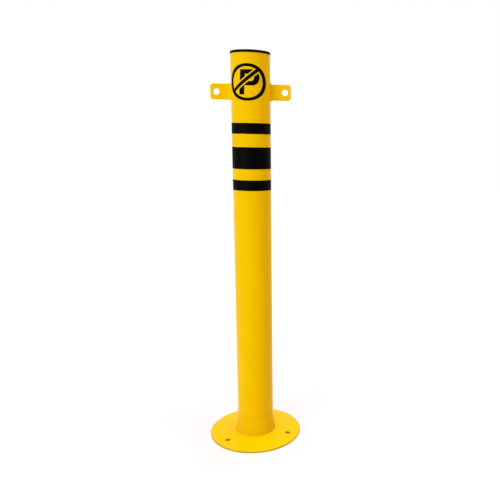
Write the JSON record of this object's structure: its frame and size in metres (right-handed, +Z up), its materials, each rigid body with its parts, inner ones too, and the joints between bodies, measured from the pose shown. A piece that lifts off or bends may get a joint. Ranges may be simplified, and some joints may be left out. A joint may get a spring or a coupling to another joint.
{
  "type": "steel bollard",
  "caption": "Tall round steel post welded to a disc foot that bolts down, with a chain lug on either side, dark marker bands and a plastic plug in its top.",
  "frame": {"origin": "centre of the circle on which the base plate's rim stands", "axes": "+Z up along the tube, +X out through the right chain lug, -Y the front with the sign"},
  "size_m": [0.196, 0.196, 0.7968],
  "materials": {
    "powder_coated_steel": "gloss powder coat",
    "black_film": "smooth adhesive film",
    "black_plastic": "moulded, fine texture"
  },
  "bodies": {
    "root": {"tube": "powder_coated_steel", "base_plate": "powder_coated_steel", "foot_collar": "powder_coated_steel", "left_lug": "powder_coated_steel", "right_lug": "powder_coated_steel", "left_lug_weld": "powder_coated_steel", "right_lug_weld": "powder_coated_steel", "upper_band": "black_film", "middle_band": "black_film", "lower_band": "black_film", "top_cap": "black_plastic"}
  },
  "joints": []
}
